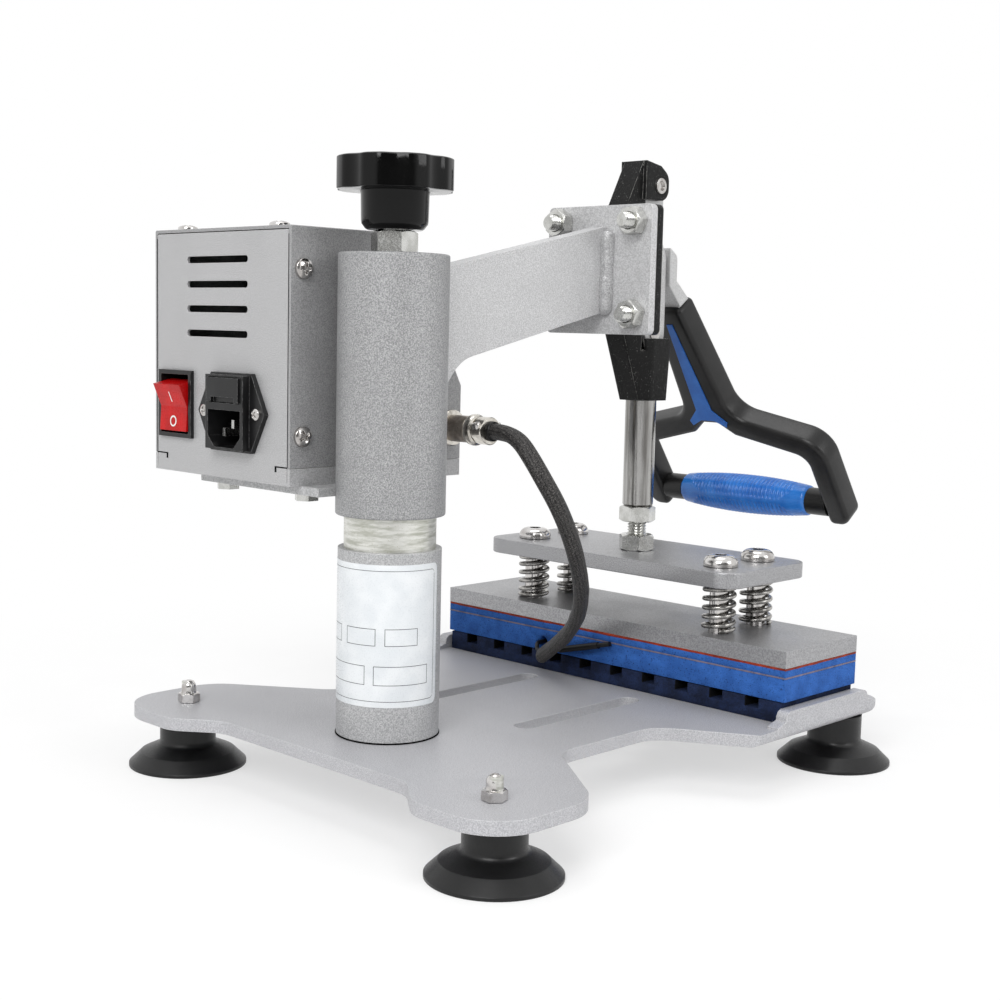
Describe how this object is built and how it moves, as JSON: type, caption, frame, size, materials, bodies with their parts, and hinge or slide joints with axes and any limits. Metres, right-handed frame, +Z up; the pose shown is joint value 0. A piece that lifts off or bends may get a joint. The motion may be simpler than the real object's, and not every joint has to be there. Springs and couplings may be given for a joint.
{
  "type": "tabletop printing press",
  "caption": "Swing-away tabletop heat press for pens: column base on suction feet, toggle lever with a forked handle, sprung platen over a grooved pad, and a control box.",
  "frame": {"origin": "centre of the whole press, at the level of the suction cups' rims on the table", "axes": "+X to the user's right, +Y to the rear where the column stands, -Y towards the user and the handle, +Z up the column"},
  "size_m": [0.2714, 0.3598, 0.3042],
  "materials": {
    "grey_paint": "hammertone",
    "plate_paint": "hammertone",
    "box_paint": "fine hammertone",
    "bare_steel": "satin",
    "zinc": "zinc plated",
    "bright_steel": "bright",
    "spring_steel": "oiled",
    "black_casting": "rough black paint",
    "handle_black": "satin",
    "soft_blue": "satin",
    "black_rubber": "gloss",
    "blue_sponge": "matte",
    "dark_sponge": "matte",
    "red_silicone": "matte",
    "pink_sheet": "matte",
    "knob_black": "gloss",
    "black_moulding": "satin",
    "red_moulding": "gloss",
    "nickel": "satin",
    "brass": "bright",
    "black_braid": "woven",
    "black_wire": "satin",
    "overlay_film": "matte",
    "window_film": "gloss",
    "key_plastic": "matte",
    "board_green": "matte"
  },
  "bodies": {
    "base": {"base_plate": "grey_paint", "lower_tube": "grey_paint", "column_shaft": "bare_steel", "suction_cups": "black_rubber", "foot_studs": "bare_steel", "acorn_nuts": "zinc", "lower_pad": "dark_sponge"},
    "head": {"swing_sleeve": "grey_paint", "swing_arm": "grey_paint", "mounting_plate": "grey_paint", "mounting_bolts": "zinc", "mounting_nuts": "zinc", "toggle_frame": "black_casting", "frame_pin": "bright_steel", "jam_nut": "zinc", "box_bracket": "grey_paint", "bracket_bolts": "zinc", "box_chassis": "box_paint", "box_cover": "box_paint", "box_screws": "bright_steel", "rocker_bezel": "black_moulding", "mains_inlet": "black_moulding", "inlet_blades": "brass", "panel_overlay": "overlay_film", "display_window": "window_film", "control_board": "board_green", "power_board": "board_green", "cable_socket": "nickel", "cable_plug": "nickel", "heater_cable": "black_braid"},
    "screw": {"pressure_spindle": "zinc"},
    "knob": {"pressure_knob": "knob_black"},
    "handle": {"lever": "bright_steel", "handle_fork": "handle_black", "handle_inlay": "soft_blue", "handle_screws": "bright_steel", "handle_grip": "soft_blue", "grip_collars": "handle_black", "grip_rod": "bare_steel"},
    "links": {"toggle_links": "bright_steel", "link_pin": "bright_steel"},
    "plunger": {"plunger_rod": "bare_steel", "plunger_pin": "bright_steel", "height_stud": "bare_steel", "stud_nuts": "zinc", "spring_plate": "plate_paint"},
    "platen": {"press_plate": "plate_paint", "guide_screws": "bright_steel", "springs": "spring_steel", "heater_mat": "red_silicone", "backing_foam": "dark_sponge", "glue_sheet": "pink_sheet", "upper_pad": "blue_sponge", "heater_lead": "black_wire", "heat_probe": "black_wire"},
    "rocker": {"power_rocker": "red_moulding"},
    "drawer": {"fuse_drawer": "black_moulding"},
    "set_key": {"set_button": "key_plastic"},
    "down_key": {"down_button": "key_plastic"},
    "up_key": {"up_button": "key_plastic"}
  },
  "joints": [
    {"name": "head_swing", "type": "hinge", "parent": "base", "child": "head", "pos_m": [-0.0013, 0.11514, 0.18], "axis": [0, 0, 1], "range_deg": [-90, 90]},
    {"name": "handle_lift", "type": "hinge", "parent": "head", "child": "handle", "pos_m": [-0.0013, -0.06236, 0.292], "axis": [-1, 0, 0], "range_deg": [0, 68], "deforming": ["heater_cable"]},
    {"name": "link_pivot", "type": "hinge", "parent": "handle", "child": "links", "pos_m": [-0.0013, -0.06236, 0.254], "axis": [-1, 0, 0], "range_deg": [-136.5, 0]},
    {"name": "plunger_pivot", "type": "hinge", "parent": "links", "child": "plunger", "pos_m": [-0.0013, -0.06236, 0.216], "axis": [-1, 0, 0], "range_deg": [0, 68.5]},
    {"name": "platen_float", "type": "slide", "parent": "plunger", "child": "platen", "axis": [0, 0, 1], "range_m": [0, 0.006], "stiffness_N_per_m": 12000, "springref_m": -0.004, "deforming": ["springs"]},
    {"name": "screw_travel", "type": "slide", "parent": "head", "child": "screw", "axis": [0, 0, 1], "range_m": [0, 0.007]},
    {"name": "knob_turn", "type": "hinge", "parent": "screw", "child": "knob", "pos_m": [-0.0013, 0.11514, 0.275], "axis": [0, 0, 1], "range_deg": [0, 1450]},
    {"name": "rocker_tip", "type": "hinge", "parent": "head", "child": "rocker", "pos_m": [0.1142, 0.14514, 0.1767], "axis": [1, 0, 0], "range_deg": [0, 20]},
    {"name": "drawer_slide", "type": "slide", "parent": "head", "child": "drawer", "axis": [0, 1, 0], "range_m": [0, 0.02]},
    {"name": "set_press", "type": "slide", "parent": "head", "child": "set_key", "axis": [0, 0.8772, -0.48], "range_m": [0, 0.0008], "stiffness_N_per_m": 400, "springref_m": -0.0005},
    {"name": "down_press", "type": "slide", "parent": "head", "child": "down_key", "axis": [0, 0.8772, -0.48], "range_m": [0, 0.0008], "stiffness_N_per_m": 400, "springref_m": -0.0005},
    {"name": "up_press", "type": "slide", "parent": "head", "child": "up_key", "axis": [0, 0.8772, -0.48], "range_m": [0, 0.0008], "stiffness_N_per_m": 400, "springref_m": -0.0005}
  ],
  "couplings": [
    {"joint": "link_pivot", "follows": "handle_lift", "ratio": -2},
    {"joint": "plunger_pivot", "follows": "handle_lift", "ratio": 1},
    {"joint": "knob_turn", "follows": "screw_travel", "rad_per_m": 3590.7}
  ]
}
